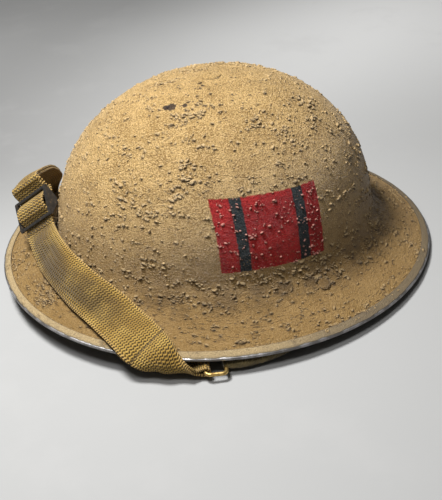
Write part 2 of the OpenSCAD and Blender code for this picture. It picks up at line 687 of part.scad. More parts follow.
// tips the helmet onto its rear rim and its two sleeves, centred over the floor
rear_rim = (rim_side + rim_longer) * sin(tilt);
centre_y = -0.05;
module sit() {
  translate([0, centre_y, rear_rim])
    rotate([-tilt, 0, 0])
      children();
}

sit() shell();
sit() rim_strip();
sit() left_lug();
sit() right_lug();
sit() lug_rivets();
sit() crown_bolt();
sit() crown_washer();
sit() crown_nut();
sit() crown_pad();
sit() long_band();
sit() cross_band();
sit() hoop();
sit() rubber_buffers();
sit() buffer_rivets();
sit() sweat_band();
sit() skull_net();
sit() drawstring();
sit() left_sleeve();
sit() right_sleeve();
sit() left_springs();
sit() right_springs();
sit() left_bail();
sit() right_bail();
sit() left_ring();
sit() right_ring();
sit() strap_webbing();
sit() slide_buckle();
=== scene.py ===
# Brimmed steel helmet in gritty desert paint, with its chin strap lifted over the front brim.
# The helmet is shaped in millimetres in its own frame and then seated on the floor in metres.
import bpy
import math
import random
from mathutils import Matrix, Vector, kdtree, noise


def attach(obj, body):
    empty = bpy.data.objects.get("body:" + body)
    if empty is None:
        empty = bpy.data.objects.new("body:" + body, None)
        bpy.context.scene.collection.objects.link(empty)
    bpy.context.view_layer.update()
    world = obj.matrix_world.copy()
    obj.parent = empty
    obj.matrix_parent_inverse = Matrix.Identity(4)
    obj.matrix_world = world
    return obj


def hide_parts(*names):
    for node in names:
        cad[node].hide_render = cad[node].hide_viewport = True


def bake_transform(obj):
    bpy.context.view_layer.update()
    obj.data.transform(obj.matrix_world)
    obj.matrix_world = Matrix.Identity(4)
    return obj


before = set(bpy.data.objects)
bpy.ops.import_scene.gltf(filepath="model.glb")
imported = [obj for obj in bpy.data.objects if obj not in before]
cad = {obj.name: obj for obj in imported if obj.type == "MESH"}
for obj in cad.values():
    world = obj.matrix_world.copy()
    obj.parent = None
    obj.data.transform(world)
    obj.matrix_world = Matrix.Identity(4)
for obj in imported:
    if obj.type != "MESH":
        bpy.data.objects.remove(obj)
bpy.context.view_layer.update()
scene = bpy.context.scene

# sizes, in millimetres
SKULL, LONGER, CROWN = 100.0, 15.0, 126.0
RIM_SIDE, RIM_LONGER, SHEET = 146.0, 8.0, 1.0
STRAP_W, STRAP_T = 29.0, 1.7
WIRE, BAR, CLEAR, SOFT_CLEAR = 1.3, 1.2, 0.12, 0.36
HOOP_R, HOOP_T = 85.0, 1.2
HEAD_T, HEAD_Z, HEAD_H = 1.5, 12.0, 36.0
HEAD_R = HOOP_R - HOOP_T - 0.25
NET_TOP, STRING_R, STRING_RING = 98.0, 1.2, 12.0
# the helmet rests on the rear of its rim and on the bails under its two sides
TILT = math.radians(2.5)
REAR_RIM = (RIM_SIDE + RIM_LONGER) * math.sin(TILT)
SEAT = Matrix.Translation((0, -0.05, REAR_RIM)) @ Matrix.Rotation(-TILT, 4, "X")
TO_FLOOR = Matrix.Scale(0.001, 4) @ SEAT
# level directions of the photo: to its right and away from its camera
PHOTO_RIGHT, PHOTO_AWAY = (0.416, 0.909, 0), (-0.909, 0.416, 0)


def seated(p):
    return TO_FLOOR @ Vector(p)


def unit(v):
    return v.normalized()


def held(x):
    """x kept between 0 and 1."""
    return max(0.0, min(1.0, x))


def around(a, r=1.0, z=0.0):
    """The point at angle a and distance r from the upright axis, at height z."""
    return Vector((r * math.cos(a), r * math.sin(a), z))


# outline of the shell
def longer(r):
    """How much further the oval of half-width r reaches to the front and rear than to the sides."""
    k = (LONGER + 2 - RIM_LONGER) / (RIM_SIDE - SKULL)
    u = LONGER * r / 88
    v = LONGER + 2 - (r - SKULL) * k
    return min(1, r / 20) * (u + v - math.sqrt((u - v) ** 2 + 16)) / 2


def dome(th):
    c, s = math.cos(math.radians(th)), math.sin(math.radians(th))
    return (SKULL * max(c, 0) ** (2 / 2.2), 9 + (CROWN - 9) * s ** (2 / 2.2))


def bezier(points, t):
    pts = [Vector(p) for p in points]
    while len(pts) > 1:
        pts = [a.lerp(b, t) for a, b in zip(pts, pts[1:])]
    return (pts[0].x, pts[0].y)


KNEE = (SKULL + 18, 8.95)
FLARE = [(SKULL - 1.05, 30), (SKULL + 0.05, 20), (SKULL + 7, 12.04), KNEE]
BRIM = [KNEE, (SKULL + 32, 5.9), (RIM_SIDE - 0.6, 1.6)]


def even(points, step):
    """The same outline with its points an even step apart."""
    out = [points[0]]
    total = sum(math.dist(a, b) for a, b in zip(points, points[1:]))
    count = max(2, round(total / step))
    wanted, run = total / count, 0.0
    for a, b in zip(points, points[1:]):
        d = math.dist(a, b)
        while run + d >= wanted * len(out) - 1e-9 and len(out) < count:
            t = (wanted * len(out) - run) / d
            out.append((a[0] + (b[0] - a[0]) * t, a[1] + (b[1] - a[1]) * t))
        run += d
    return out + [points[-1]]


outline = [(3.2, CROWN - 0.02)] + [dome(th) for th in range(88, 14, -1)]
outline += [bezier(FLARE, i / 20) for i in range(21)] + [bezier(BRIM, i / 20) for i in range(1, 21)]
outline = even(outline, 1.22)
EDGE = len(outline) - 1
RIM_EDGE = outline[EDGE][0]


def out_dir(i):
    a, b = outline[max(0, i - 1)], outline[min(EDGE, i + 1)]
    d = unit(Vector((b[0] - a[0], b[1] - a[1])))
    return Vector((-d.y, d.x)) if i else Vector((0, 1))


def on_oval(r, z, a):
    return Vector((r * math.cos(a), (r + longer(r)) * math.sin(a), z))


# making and finishing pieces
def start():
    bpy.ops.object.select_all(action="DESELECT")


def take(obj):
    start()
    obj.select_set(True)
    bpy.context.view_layer.objects.active = obj


def made(name):
    """The piece just made, under its name."""
    obj = bpy.context.object
    obj.name = obj.data.name = name
    return obj


def smooth(obj, angle=180):
    take(obj)
    bpy.ops.object.shade_smooth_by_angle(angle=math.radians(angle))


def mend(obj, gap=0.0, sides=0):
    """Joins corners closer than gap, fills holes of up to sides edges, turns faces outward."""
    take(obj)
    bpy.ops.object.mode_set(mode="EDIT")
    bpy.ops.mesh.select_all(action="SELECT")
    if gap:
        bpy.ops.mesh.remove_doubles(threshold=gap)
    if sides:
        bpy.ops.mesh.fill_holes(sides=sides)
    bpy.ops.mesh.normals_make_consistent(inside=False)
    bpy.ops.object.mode_set(mode="OBJECT")


# no open end of a piece has more sides than this
END_SIDES = 200


def wrapped(name, nu, nv, place, uv=None):
    """A grid of nu by nv faces, its corners put at place(u, v) with u and v from 0 to 1."""
    start()
    bpy.ops.mesh.primitive_grid_add(x_subdivisions=nu, y_subdivisions=nv, size=2, calc_uvs=True)
    obj = made(name)
    for v in obj.data.vertices:
        v.co = place((v.co.x + 1) / 2, (v.co.y + 1) / 2)
    if uv:
        for loop in obj.data.uv_layers[0].data:
            loop.uv = uv(loop.uv[0], loop.uv[1])
    mend(obj, gap=1e-4)
    obj.data.transform(TO_FLOOR)
    return obj


def point_layer(obj, name):
    """A new layer with one number for each corner of obj, for its material to read."""
    return obj.data.attributes.new(name, "FLOAT", "POINT").data


def dress(obj, slot, mat, *nodes):
    obj.data.materials.clear()
    obj.data.materials.append(mat)
    if nodes:
        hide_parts(*nodes)


def finish_with(obj, body, slot, mat, *nodes):
    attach(obj, body)
    dress(obj, slot, mat, *nodes)


# shader building blocks
def rgb(*colour):
    """A colour as it looks on screen, 0 to 255, turned into light values."""
    return tuple(((c / 255 + 0.055) / 1.055) ** 2.4 if c > 10 else c / 255 / 12.92 for c in colour)


class Value:
    """An output of a shader node. It can be added, subtracted and multiplied, which adds nodes."""

    def __init__(self, shader, socket):
        self.shader, self.socket = shader, socket

    def __add__(self, other):
        return self.shader.reckon("ADD", self, other)

    def __sub__(self, other):
        return self.shader.reckon("SUBTRACT", self, other)

    def __rsub__(self, other):
        return self.shader.reckon("SUBTRACT", other, self)

    def __mul__(self, other):
        return self.shader.reckon("MULTIPLY", self, other)

    def __abs__(self):
        return self.shader.reckon("ABSOLUTE", self)

    __radd__, __rmul__ = __add__, __mul__

    def ramp(self, low, high):
        """0 below low, 1 above high, eased between. It falls instead where low is the larger."""
        falls = low > high
        return self.shader.get("MapRange", "Result", interpolation_type="SMOOTHSTEP", Value=self,
                               From_Min=min(low, high), From_Max=max(low, high),
                               To_Min=1.0 if falls else 0.0, To_Max=0.0 if falls else 1.0)

    def between(self, low, high, soft):
        """1 from low to high and 0 outside, eased over soft on both sides of each."""
        return self.ramp(low - soft, low + soft) * self.ramp(high + soft, high - soft)


class Shader:
    """A node tree. Each input of its nodes takes a Value, a number, a colour or a vector."""

    def __init__(self, tree):
        self.tree = tree

    def feed(self, socket, value):
        if isinstance(value, Value):
            self.tree.links.new(value.socket, socket)
        else:
            socket.default_value = value

    def feed_named(self, inputs, given):
        for key, value in given.items():
            self.feed(inputs[key.replace("_", " ")], value)

    def get(self, kind, output, **given):
        """One output of a new node, whose settings and inputs are given by name."""
        n = self.tree.nodes.new("ShaderNode" + kind)
        for key, value in given.items():
            if hasattr(n, key):
                setattr(n, key, value)
            else:
                self.feed_named(n.inputs, {key: value})
        return Value(self, n.outputs[output])

    def reckon(self, operation, *values, clamp=False):
        n = self.tree.nodes.new("ShaderNodeMath")
        n.operation, n.use_clamp = operation, clamp
        for socket, value in zip(n.inputs, values):
            self.feed(socket, value)
        return Value(self, n.outputs[0])

    def vector(self, operation, *values, output="Vector", **given):
        n = self.tree.nodes.new("ShaderNodeVectorMath")
        n.operation = operation
        for socket, value in zip(n.inputs, values):
            self.feed(socket, value)
        self.feed_named(n.inputs, given)
        return Value(self, n.outputs[output])

    def split(self, vector):
        n = self.tree.nodes.new("ShaderNodeSeparateXYZ")
        self.feed(n.inputs[0], vector)
        return [Value(self, out) for out in n.outputs]

    def blend(self, fac, a, b):
        """Colour a where fac is 0 and colour b where it is 1."""
        n = self.tree.nodes.new("ShaderNodeMix")
        n.data_type = "RGBA"
        for i, x in ((0, fac), (6, a), (7, b)):
            self.feed(n.inputs[i], (*x, 1.0) if isinstance(x, tuple) else x)
        return Value(self, n.outputs[2])

    def noise(self, place, scale, detail, rough=0.5):
        return self.get("TexNoise", "Fac", noise_dimensions="3D", Vector=place,
                        Scale=scale, Detail=detail, Roughness=rough)

    def bump(self, height, strength, distance):
        return self.get("Bump", "Normal", Strength=strength, Distance=distance, Height=height)

    def layer(self, name):
        return self.get("Attribute", "Fac", attribute_type="GEOMETRY", attribute_name=name)

    def uv(self):
        return self.split(self.get("UVMap", 0, uv_map="UVMap"))[:2]

    def helmet_mm(self):
        """Object coordinates turned back into the helmet's own frame, in millimetres."""
        return self.get("Mapping", 0, Vector=self.get("TexCoord", "Object"),
                        Scale=(1000, 1000, 1000), Rotation=(TILT, 0, 0),
                        Location=SEAT.inverted().to_translation())

    def group(self, group, **given):
        n = self.tree.nodes.new("ShaderNodeGroup")
        n.node_tree = group
        self.feed_named(n.inputs, given)
        return [Value(self, out) for out in n.outputs]

    def skin(self, **given):
        """Feeds the inputs of the material's surface."""
        self.feed_named(self.tree.nodes["Principled BSDF"].inputs, given)


def new_material(name):
    mat = bpy.data.materials.new(name)
    mat.use_nodes = True
    return mat, Shader(mat.node_tree)


def new_group(name, **inputs):
    """The shader of a new node group and the Values of its inputs, given as name and kind."""
    sh = Shader(bpy.data.node_groups.new(name, "ShaderNodeTree"))
    for key, kind in inputs.items():
        sh.tree.interface.new_socket(key, in_out="INPUT", socket_type="NodeSocket" + kind)
    gate = sh.tree.nodes.new("NodeGroupInput")
    return sh, [Value(sh, gate.outputs[key]) for key in inputs]


def close_group(sh, **results):
    for key in results:
        sh.tree.interface.new_socket(key, in_out="OUTPUT", socket_type="NodeSocketFloat")
    sh.feed_named(sh.tree.nodes.new("NodeGroupOutput").inputs, results)
    return sh.tree


# gritty paint: sand grains in short rows, fine pits and slow changes of tone, in millimetres
def make_grit():
    sh, (place,) = new_group("gritty_paint", Place="Vector")
    # grains are a little longer along the rows the brush left than up and down
    drawn = sh.get("Mapping", 0, Vector=place, Scale=(0.85, 0.85, 1.25))
    grain, fine = sh.noise(drawn, 1.2, 3.0, 0.7), sh.noise(place, 2.6, 2.0, 0.6)
    cells = sh.get("TexVoronoi", "Distance", feature="SMOOTH_F1", Vector=drawn,
                   Scale=0.42, Randomness=1.0, Smoothness=0.35)
    return close_group(sh, Height=grain * 1.3 + fine * 0.65 + (1.0 - cells) * 0.3, Grain=grain,
                       Pit=grain.ramp(0.5, 0.38) * fine.ramp(0.64, 0.42),
                       Mottle=sh.noise(place, 0.07, 7.0, 0.65))


GRIT = make_grit()
SAND_GRAIN_HIGHLIGHT, SAND_LIT, SAND_MID = rgb(228, 196, 142), rgb(206, 169, 106), rgb(172, 137, 80)
SAND_DIM, SHADE_BROWN = rgb(90, 68, 39), rgb(50, 34, 19)
# the flash: its ends along Y, its lower and upper edges and its two bars
FLASH_Y, FLASH_Z, FLASH_BARS = (-40.5, 32.8), (31.5, 77.3), ((-28.5, -21.2), (13.8, 21.6))
CHIPS = (((20.1, -37.8, 119.4), 3.3), ((24.3, -29.8, 119.9), 1.9), ((18.2, -40.6, 118.9), 2.2))


def gritty(sh, place):
    """The grain of the sand paint and its colour before dirt: its own tone, a painted highlight on
    the grain's tops and painted shade in its pits.
    """
    _, grain, pit, mottle = grit = sh.group(GRIT, Place=place)
    colour = sh.blend(mottle.ramp(0.32, 0.66), SAND_MID, SAND_LIT)
    # painted highlight on the tops of the grain
    colour = sh.blend(grain.ramp(0.48, 0.62) * 0.8, colour, SAND_GRAIN_HIGHLIGHT)
    # painted shade in the pits of the grain
    return grit, sh.blend(pit * 0.85, colour, SAND_DIM)


def with_crumb_shade(sh, colour):
    """Painted shade in dark brown, from the layer of painted shade that the scene lays round and
    under the crumbs.
    """
    return sh.blend(sh.layer("soot") * 0.95, colour, SHADE_BROWN)


def flash_paint(sh, place, grit, worn_lit_tips, colour, shine):
    """The red flash with its two dark bars, painted over the given colour outside the skull."""
    _, grain, pit, mottle = grit
    x, y, z = sh.split(place)
    shake = (sh.noise(place, 0.35, 4.0, 0.6) - 0.5) * 2.2
    y, z = y + shake, z + shake
    z = z - y * -0.045
    outside = x.ramp(10, 12) * sh.layer("outer")
    field = y.between(*FLASH_Y, 0.45) * z.between(*FLASH_Z, 0.5) * outside
    bars = sh.reckon("MAXIMUM", *(y.between(*bar, 0.5) for bar in FLASH_BARS))
    # sand shows through the thin red paint in specks, most of all near its lower edge
    thin = sh.noise(place, 0.75, 3.0, 0.8) + z.ramp(52, 32) * 0.06
    cover = field * (1.0 - thin.ramp(0.64, 0.72) * 0.7)
    red = sh.blend(mottle.ramp(0.3, 0.7), rgb(150, 22, 26), rgb(200, 38, 38))
    # painted highlight on the tops of the red's grain and painted shade in its pits
    red = sh.blend(grain.ramp(0.52, 0.68) * 0.35, red, rgb(206, 84, 76))
    red = sh.blend(pit * 0.7, red, rgb(70, 18, 20))
    # the dark bars, lighter on the tops of the grain as a painted highlight
    ink = sh.blend(grain.ramp(0.54, 0.68) * 0.5, rgb(34, 44, 48), rgb(100, 100, 94))
    # the crumbs' upper sides on the flash, painted pinkish white: partly worn paint and partly a
    # painted highlight
    red = sh.blend(worn_lit_tips * 0.85, sh.blend(bars, red, ink), rgb(232, 168, 152))
    return sh.blend(cover, colour, red), shine * (1.0 - cover * 0.6)


def ring_dashes(sh, place):
    """Short lines that run round the helmet, and each point's distance from its upright axis."""
    x, y, z = sh.split(place)
    level = sh.get("CombineXYZ", 0, X=x, Y=y * (RIM_SIDE / (RIM_SIDE + RIM_LONGER)))
    span = sh.vector("LENGTH", level, output="Value")
    turned = sh.vector("SCALE", sh.vector("NORMALIZE", level), Scale=20)
    fall = sh.get("CombineXYZ", 0, Z=(span - z) * 0.55)
    return sh.noise(sh.vector("ADD", turned, fall), 1.0, 2.0, 0.6), span


def sand_paint(name, flash=False):
    mat, sh = new_material(name)
    place = sh.helmet_mm()
    grit, colour = gritty(sh, place)
    height, grain, _, mottle = grit
    z = sh.split(place)[2]
    # the skull is painted darker and browner towards the bottom
    colour = sh.blend(z.ramp(92, 18) * 0.62, colour, rgb(140, 108, 56))
    # the crumbs' upper sides, painted pale: partly worn paint and partly a painted highlight
    worn_lit_tips = sh.layer("worn")
    colour = sh.blend(worn_lit_tips * 0.45, colour, rgb(240, 212, 164))
    shine = mottle * 0.3 + 0.42
    if flash:
        colour, shine = flash_paint(sh, place, grit, worn_lit_tips, colour, shine)
    # dirt left in short lines that run round the helmet, thickest on the brim
    dashes, span = ring_dashes(sh, place)
    on_brim = span.ramp(104, 118)
    colour = sh.blend(on_brim * 0.26, colour, rgb(156, 124, 78))
    colour = sh.blend(dashes.ramp(0.6, 0.67) * (on_brim * 0.5 + 0.25), colour, rgb(80, 60, 38))
    # dirt and painted shade gather in the corner where the skull meets the brim
    low = z.between(10.5, 24, 6) * sh.noise(place, 0.06, 5.0, 0.7).ramp(0.34, 0.64)
    # painted shade round and under the crumbs
    colour = with_crumb_shade(sh, sh.blend(low * 0.65, colour, SAND_DIM))
    # one old chip down to the dark primer near the crown
    for spot, reach in CHIPS:
        ragged = sh.vector("DISTANCE", place, spot, output="Value") + grain * 2.6
        colour = sh.blend(ragged.ramp(reach + 1.6, reach + 1.0) * 0.9, colour, rgb(50, 38, 36))
    sh.skin(Base_Color=colour, Normal=sh.bump(height + dashes * 0.45, 1.0, 0.0022),
            Roughness=mottle * 0.2 + 0.36, Specular_IOR_Level=shine)
    return mat


def plain_paint(name, colour, other, rough, metal=0.0, scale=0.5, depth=0.0001, worn=None):
    """A painted or oiled surface: two tones, fine unevenness and, if worn is given, rubs."""
    mat, sh = new_material(name)
    tone = sh.noise(sh.helmet_mm(), scale, 5.0, 0.6)
    mix = sh.blend(tone.ramp(0.35, 0.65), rgb(*colour), rgb(*other))
    if worn:
        mix = sh.blend(tone.ramp(0.62, 0.7), mix, rgb(*worn))
    sh.skin(Base_Color=mix, Roughness=tone * 0.16 + (rough - 0.08), Metallic=metal,
            Normal=sh.bump(tone, 0.4, depth))
    return mat


# woven webbing: fine zigzag ribs crossing a warp, from a UV map laid in millimetres
def make_weave():
    sh, (along, across, place) = new_group("khaki_weave", Along="Float", Across="Float",
                                           Place="Vector")
    drift = (sh.noise(place, 0.22, 3.0) - 0.5) * 1.4
    # the ribs wave from side to side as they run along the webbing
    wave = sh.reckon("PINGPONG", across + 40.0, 1.6) * 0.62
    rib = sh.reckon("SINE", (along + wave + drift) * (2 * math.pi / 2.1)) * 0.5 + 0.5
    yarn = sh.reckon("SINE", across * (2 * math.pi / 1.6)) * 0.5 + 0.5
    height = rib * 0.62 + yarn * 0.3 + sh.noise(place, 2.2, 3.0) * 0.35
    return close_group(sh, Height=height, Gap=height.ramp(0.75, 0.28),
                       Mottle=sh.noise(place, 0.055, 5.0, 0.6))


WEAVE = make_weave()
STITCHED_AT = 122


def webbing_cloth():
    mat, sh = new_material("webbing")
    place = sh.helmet_mm()
    along, across = sh.uv()
    height, gap, mottle = sh.group(WEAVE, Along=along, Across=across, Place=place)
    colour = sh.blend(mottle.ramp(0.34, 0.66), rgb(136, 107, 46), rgb(164, 135, 68))
    colour = sh.blend(abs(across).ramp(12.4, 13.4) * 0.5, colour, rgb(172, 142, 88))
    # painted shade in the gaps between the ribs
    colour = sh.blend(gap, colour, rgb(52, 38, 16))
    # grime from years of wear, darkest along the middle of the front run
    middle = abs(across).ramp(13, 6) * along.between(152, 264, 26)
    grime = middle * sh.noise(place, 0.04, 4.0, 0.55).ramp(0.26, 0.52)
    colour = sh.blend(grime * 0.82, colour, rgb(68, 54, 31))
    # the row of stitches that holds the lap at the front ring
    row = abs(along - STITCHED_AT).ramp(0.75, 0.35)
    thread = sh.reckon("SINE", across * 2.3).ramp(-0.5, 0.1)
    colour = sh.blend(row * 0.7, colour, rgb(62, 47, 23))
    colour = sh.blend(row * thread * 0.85, colour, rgb(44, 33, 18))
    sh.skin(Base_Color=colour, Normal=sh.bump(height - row * 0.5, 1.0, 0.001),
            Roughness=0.92, Specular_IOR_Level=0.2, Sheen_Weight=0.08)
    return mat


def plain_cloth(name, colour, other, pitch=0.7):
    """A plain weave of two tones, with its threads pitch apart."""
    mat, sh = new_material(name)
    place = sh.helmet_mm()
    mix = sh.blend(sh.noise(place, 0.1, 6.0, 0.6).ramp(0.34, 0.66), rgb(*colour), rgb(*other))
    warp, weft = (
        sh.get("TexWave", "Fac", wave_type="BANDS", bands_direction="DIAGONAL",
               Vector=sh.get("Mapping", 0, Vector=place, Rotation=(0, 0, turn)),
               Scale=0.314 / pitch, Distortion=1.2, Detail=1.0)
        for turn in (0.0, math.pi / 2))
    both = warp * weft
    # painted shade where the weave's threads dip
    mix = sh.blend(both.ramp(0.3, 0.0) * 0.4, mix, tuple(c * 0.4 for c in rgb(*colour)))
    sh.skin(Base_Color=mix, Normal=sh.bump(both, 0.6, 0.00025), Roughness=0.95, Sheen_Weight=0.2)
    return mat


def rim_finish():
    """The folded rim: painted on top, with painted shade along its inner edge, and bare steel round
    its nose.
    """
    mat, sh = new_material("rim_edge")
    place = sh.helmet_mm()
    along = sh.uv()[1]
    (height, *_), paint = gritty(sh, place)
    # greyer paint, with painted shade round and under the crumbs
    paint = with_crumb_shade(sh, sh.blend(0.7, paint, rgb(124, 112, 86)))
    # painted shade along the step at the inner edge of the top leg
    paint = sh.blend(along.ramp(-5.5, -6.3) * 0.75, paint, SHADE_BROWN)
    paint = sh.blend(along.ramp(-2.6, -1.0) * 0.4, paint, rgb(88, 80, 62))
    # painted shade: the strip is painted darker towards the camera's right, the side away from the
    # lamps
    shaded_side = sh.vector("DOT_PRODUCT", place, PHOTO_RIGHT, output="Value")
    paint = sh.blend(shaded_side.ramp(10, 95) * 0.75, paint, rgb(88, 76, 58))
    worn = sh.noise(place, 0.13, 6.0, 0.65)
    painted = (along + (worn - 0.5) * 2.4).ramp(-0.35, -0.75)
    steel = sh.blend(worn.ramp(0.42, 0.62), rgb(104, 101, 99), rgb(150, 148, 148))
    sh.skin(Base_Color=sh.blend(painted, steel, paint), Metallic=0.6 - painted * 0.6,
            Roughness=painted * 0.25 + 0.36,
            Normal=sh.bump(height * (painted * 0.88 + 0.12), 0.9, 0.0009))
    return mat


PAINT = sand_paint("sand_paint", flash=True)
PAINT_PLAIN = sand_paint("sand_paint_plain")
RIM = rim_finish()
WEBBING = webbing_cloth()
SLEEVE = plain_cloth("sleeve_cloth", (84, 72, 42), (116, 100, 60))
STRING = plain_cloth("cord", (150, 132, 98), (176, 158, 122), 0.5)
BRASS = plain_paint("worn_brass", (206, 176, 112), (150, 118, 62), 0.38, 0.9, 0.4, 0.00008,
                    (92, 72, 42))
BLACK = plain_paint("black_japan", (34, 33, 32), (50, 46, 42), 0.45, 0.2, 0.5, 0.00008,
                    (96, 76, 50))
DARK_STEEL = plain_paint("lug_steel", (64, 60, 54), (88, 80, 68), 0.6, 0.4, 0.4, 0.0002)
ZINC = plain_paint("zinc_steel", (128, 128, 130), (160, 160, 160), 0.45, 0.85, 0.3)
SPRING = plain_paint("spring_steel", (110, 110, 112), (140, 140, 142), 0.4, 0.9)
FIBRE = plain_paint("fibre_band", (92, 64, 42), (120, 86, 56), 0.7, 0.0, 0.25, 0.0003)
OILCLOTH = plain_paint("oilcloth", (44, 34, 28), (66, 50, 38), 0.5, 0.0, 0.12, 0.0006, (92, 70, 50))
RUBBER = plain_paint("rubber_buffer", (40, 38, 36), (56, 53, 49), 0.8, 0.0, 0.4, 0.0002)
SPONGE = plain_paint("rubber_pad", (52, 47, 43), (76, 68, 60), 0.9, 0.0, 0.7, 0.0008)

# shell: one grid wrapped over the outside and back under the inside
COLUMNS = 480
BUCKLE_AT = Vector((-29.5, -121.4, 33))


def under(i):
    return Vector(outline[i]) - out_dir(i) * SHEET


section = [Vector(p) for p in outline] + [under(EDGE - round(i * EDGE / 20)) for i in range(21)]


def uneven(p):
    """Slow hand-worked waviness of the pressed sheet and its thick paint."""
    return (noise.noise(p * 0.03) * 0.5 + noise.noise(p * 0.11 + Vector((9, 4, 2))) * 0.16) * 0.55


def shell_place(u, v):
    i = round(v * len(section)) % len(section)
    s = section[i]
    a = 2 * math.pi * u
    p = on_oval(s.x, s.y, a)
    if i <= EDGE:
        n = unit(around(a, *out_dir(i)))
        x = held((RIM_EDGE - s.x - 8) / 10) * held((s.x - 9) / 10)
        # the sheet stays even, and a hair further in, where the slide buckle lies against it
        gap = (p - BUCKLE_AT).length
        x *= held((gap - 26) / 14)
        p += n * (uneven(p) * x + 0.22 * x * max(0, noise.noise(p * 0.42)))
        p -= n * 0.4 * held((36 - gap) / 12)
    return p


shell = wrapped("painted_shell", COLUMNS, len(section), shell_place)
smooth(shell, 60)
# the flash is painted on the outside alone
outer = point_layer(shell, "outer")
for v in shell.data.vertices:
    outer[v.index].value = 1.0 if v.normal.dot(v.co - Vector((0, 0, 0.02))) > 0 else 0.0
finish_with(shell, "helmet", "sand_paint", PAINT, "shell")

# crumbs of grit caught in the paint, each a small many-sided lump half sunk in the skin
CRUMBS, CRUST = 9200, 60
LUG_RIVET, LUG_RIVET_R = math.radians(12), 107.4


def crumb_chance(p):
    """How likely a crumb is at p: they crowd in patches and in rows that run round the skull."""
    crowd = noise.noise(p * 0.03 + Vector((3, 1, 7))) + 0.7 * noise.noise(p * 0.1)
    rows = noise.noise(Vector((math.atan2(p.y, p.x) * 5.0, p.z * 0.2, 2.0)))
    chance = 0.09 + 0.8 * max(0, crowd) + 0.85 * max(0, rows - 0.05)
    if 12 < p.z < 30:
        chance += 0.3
    return chance


def skin_point(i, a):
    """The skin's point i rows from the crown at angle a, and its ways along, down and outward."""
    k = min(EDGE - 1, int(i))
    s = Vector(outline[k]).lerp(Vector(outline[k + 1]), i - k)
    d = out_dir(k + 1)
    along = unit(on_oval(s.x, s.y, a + 0.01) - on_oval(s.x, s.y, a - 0.01))
    fall = unit(around(a, d.y, -d.x))
    return on_oval(s.x, s.y, a), along, fall, unit(along.cross(-fall))


def crumb_spots(count):
    """The row, the angle and the scale of each crumb."""
    spots = []
    while len(spots) < count:
        i = random.random() * EDGE
        x = outline[int(i)][0]
        if random.random() > x / RIM_EDGE or x < 11 or x > RIM_EDGE - 1.2:
            continue
        a = random.random() * 2 * math.pi
        p = skin_point(i, a)[0]
        chance, scale = crumb_chance(p), 1.0
        # on the flash they lie more evenly and are a little smaller
        if p.x > 20 and FLASH_Y[0] < p.y < FLASH_Y[1] and 31 < p.z < 79:
            chance, scale = 0.1 + 0.6 * chance, 0.82
        if random.random() > chance * 0.8:
            continue
        spots.append((i, a, scale))
        # now and then a short run of crumbs stuck together
        if random.random() < 0.3 * chance:
            for _ in range(random.randint(1, 5)):
                a += random.uniform(-1, 1) * 3.2 / x
                i = min(EDGE - 3, max(12, i + random.uniform(-0.9, 0.9)))
                spots.append((i, a, 1.15 * scale))
    return spots[:count]


def repeat(obj, count):
    """Turns obj into count copies of it in one mesh, and gives the number of corners in each."""
    each = len(obj.data.vertices)
    take(obj)
    m = obj.modifiers.new("row", "ARRAY")
    m.use_relative_offset = False
    m.count = count
    bpy.ops.object.modifier_apply(modifier="row")
    return each


start()
bpy.ops.mesh.primitive_ico_sphere_add(subdivisions=1, radius=1)
crumbs = made("paint_crumbs")
random.seed(7)
spots = crumb_spots(CRUMBS)
# a crust of crumbs round the lug rivet on each side
rivet_row = min(range(EDGE + 1), key=lambda i: abs(outline[i][0] - LUG_RIVET_R))
for k in range(CRUST):
    a, off = LUG_RIVET + random.gauss(0, 0.022), random.gauss(0, 2.0)
    spots.append((rivet_row + off, a if k % 2 else math.pi - a, 2.1))
each = repeat(crumbs, len(spots))
verts = crumbs.data.vertices
soot, worn, outer = (point_layer(crumbs, name) for name in ("soot", "worn", "outer"))
for one in outer:
    one.value = 1.0
marks = []
for k, (i, a, scale) in enumerate(spots):
    p, along, fall, n = skin_point(i, a)
    size = (0.38 + 0.84 * random.random() ** 2.6) * scale
    turn = random.gauss(0, 0.5)
    ex = along * math.cos(turn) + fall * math.sin(turn)
    ey = fall * math.cos(turn) - along * math.sin(turn)
    long_by, tall = 1 + 0.7 * random.random(), 0.6 + 0.45 * random.random()
    for j in range(k * each, (k + 1) * each):
        c = verts[j].co.copy()
        w = 1 + 0.45 * (random.random() - 0.5)
        verts[j].co = p + (ex * c.x * long_by + ey * c.y + n * (c.z * tall + 0.1)) * size * w
        # painted shade on the crumb's lower side, towards the way down the skin
        soot[j].value = held(0.3 + 1.3 * c.y - 0.8 * c.z)
        # the crumb's upper side is marked for wear and a painted highlight
        worn[j].value = held(1.3 * c.z - 0.6 * c.y)
    # a spot of painted shade on the skin just below each crumb
    marks.append((p + fall * size * 0.9 + n * 0.1, size * (1.1 + 0.3 * long_by)))
crumbs.data.transform(TO_FLOOR)
smooth(crumbs, 50)
finish_with(crumbs, "helmet", "sand_paint", PAINT)


def lay_painted_shade(obj, spots, strength):
    """Paints shade on the corners of obj near each spot, given in helmet millimetres with a reach.
    """
    seat = TO_FLOOR.inverted()
    tree = kdtree.KDTree(len(obj.data.vertices))
    for v in obj.data.vertices:
        tree.insert(seat @ v.co, v.index)
    tree.balance()
    layer = point_layer(obj, "soot")
    outer = obj.data.attributes.get("outer")
    for p, reach in spots:
        for _, index, gap in tree.find_range(p, reach):
            if outer is None or outer.data[index].value:
                dark = strength * (1 - (gap / reach) ** 2)
                layer[index].value = max(layer[index].value, dark)


# painted shade on the shell round and below the crumbs
lay_painted_shade(shell, marks, 0.6)

# folded strip round the rim, with a narrow gap at the rear where its ends meet
GAP = 0.8 / (RIM_SIDE + RIM_LONGER)
RIM_ROUND = 930
edge_out = out_dir(EDGE)
edge_on = Vector((edge_out.y, -edge_out.x))


def rim_at(along, lift):
    """A place beyond the sheet's edge by along, and above its outer face by lift."""
    return Vector(outline[EDGE]) + edge_on * along + edge_out * lift


